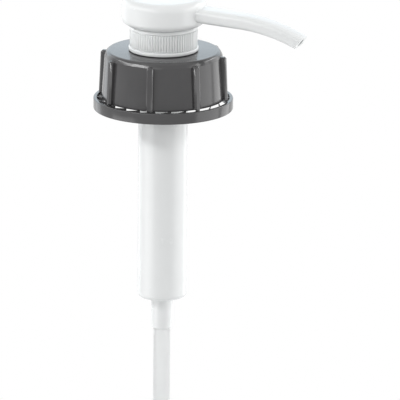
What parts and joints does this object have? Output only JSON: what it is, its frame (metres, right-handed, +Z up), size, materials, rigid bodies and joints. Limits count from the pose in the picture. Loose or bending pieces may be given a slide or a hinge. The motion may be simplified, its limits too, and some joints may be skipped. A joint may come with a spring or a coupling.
{
  "type": "canister dispensing pump",
  "caption": "Hand pump for a canister: round push-down head with a bent nozzle, knurled collar, ribbed grey screw cap with a tamper ring, long pump cylinder and dip tube.",
  "frame": {"origin": "on the axis, at the face of the cap gasket that rests on the canister's rim", "axes": "+Z up along the pump's axis, +X the way that the nozzle points at rest"},
  "size_m": [0.1222, 0.0768, 0.3302],
  "materials": {
    "grey_plastic": "satin moulded polythene, dark grey",
    "white_plastic": "satin moulded polypropylene, white",
    "natural_plastic": "milky, lets light through",
    "foam": "soft foamed polythene",
    "soft_seal": "soft, pale grey",
    "steel": "stainless, drawn"
  },
  "bodies": {
    "cap": {"screw_cap": "grey_plastic", "tamper_ring": "grey_plastic", "cap_gasket": "foam", "neck_gasket": "foam"},
    "pump": {"housing": "white_plastic", "stem_guide": "white_plastic", "wiper_seal": "soft_seal", "inlet_cage": "white_plastic", "dip_tube": "natural_plastic", "return_spring": "steel"},
    "collar": {"collar": "white_plastic"},
    "plunger": {"piston_core": "white_plastic", "piston_seal": "soft_seal", "spring_follower": "white_plastic"},
    "head": {"head_body": "white_plastic", "head_cover": "white_plastic", "stem": "white_plastic", "stem_foot": "white_plastic", "outlet_seat": "white_plastic"},
    "inlet_valve": {"inlet_ball": "steel"},
    "outlet_valve": {"outlet_ball": "steel"}
  },
  "joints": [
    {"name": "pump_lift", "type": "slide", "parent": "cap", "child": "pump", "axis": [0, 0, 1], "range_m": [0, 0.00528]},
    {"name": "collar_turn", "type": "hinge", "parent": "pump", "child": "collar", "pos_m": [0, 0, 0.0128], "axis": [0, 0, 1], "range_deg": [0, 450]},
    {"name": "head_stroke", "type": "slide", "parent": "pump", "child": "plunger", "axis": [0, 0, 1], "range_m": [0, 0.063], "deforming": ["return_spring"]},
    {"name": "head_swivel", "type": "hinge", "parent": "plunger", "child": "head", "pos_m": [0, 0, 0.0274], "axis": [0, 0, 1], "continuous": true},
    {"name": "inlet_ball_lift", "type": "slide", "parent": "pump", "child": "inlet_valve", "axis": [0, 0, 1], "range_m": [0, 0.0024]},
    {"name": "outlet_ball_lift", "type": "slide", "parent": "head", "child": "outlet_valve", "axis": [0, 0, 1], "range_m": [0, 0.0024]}
  ],
  "couplings": [
    {"joint": "collar_turn", "follows": "pump_lift", "rad_per_m": 1485.4}
  ]
}
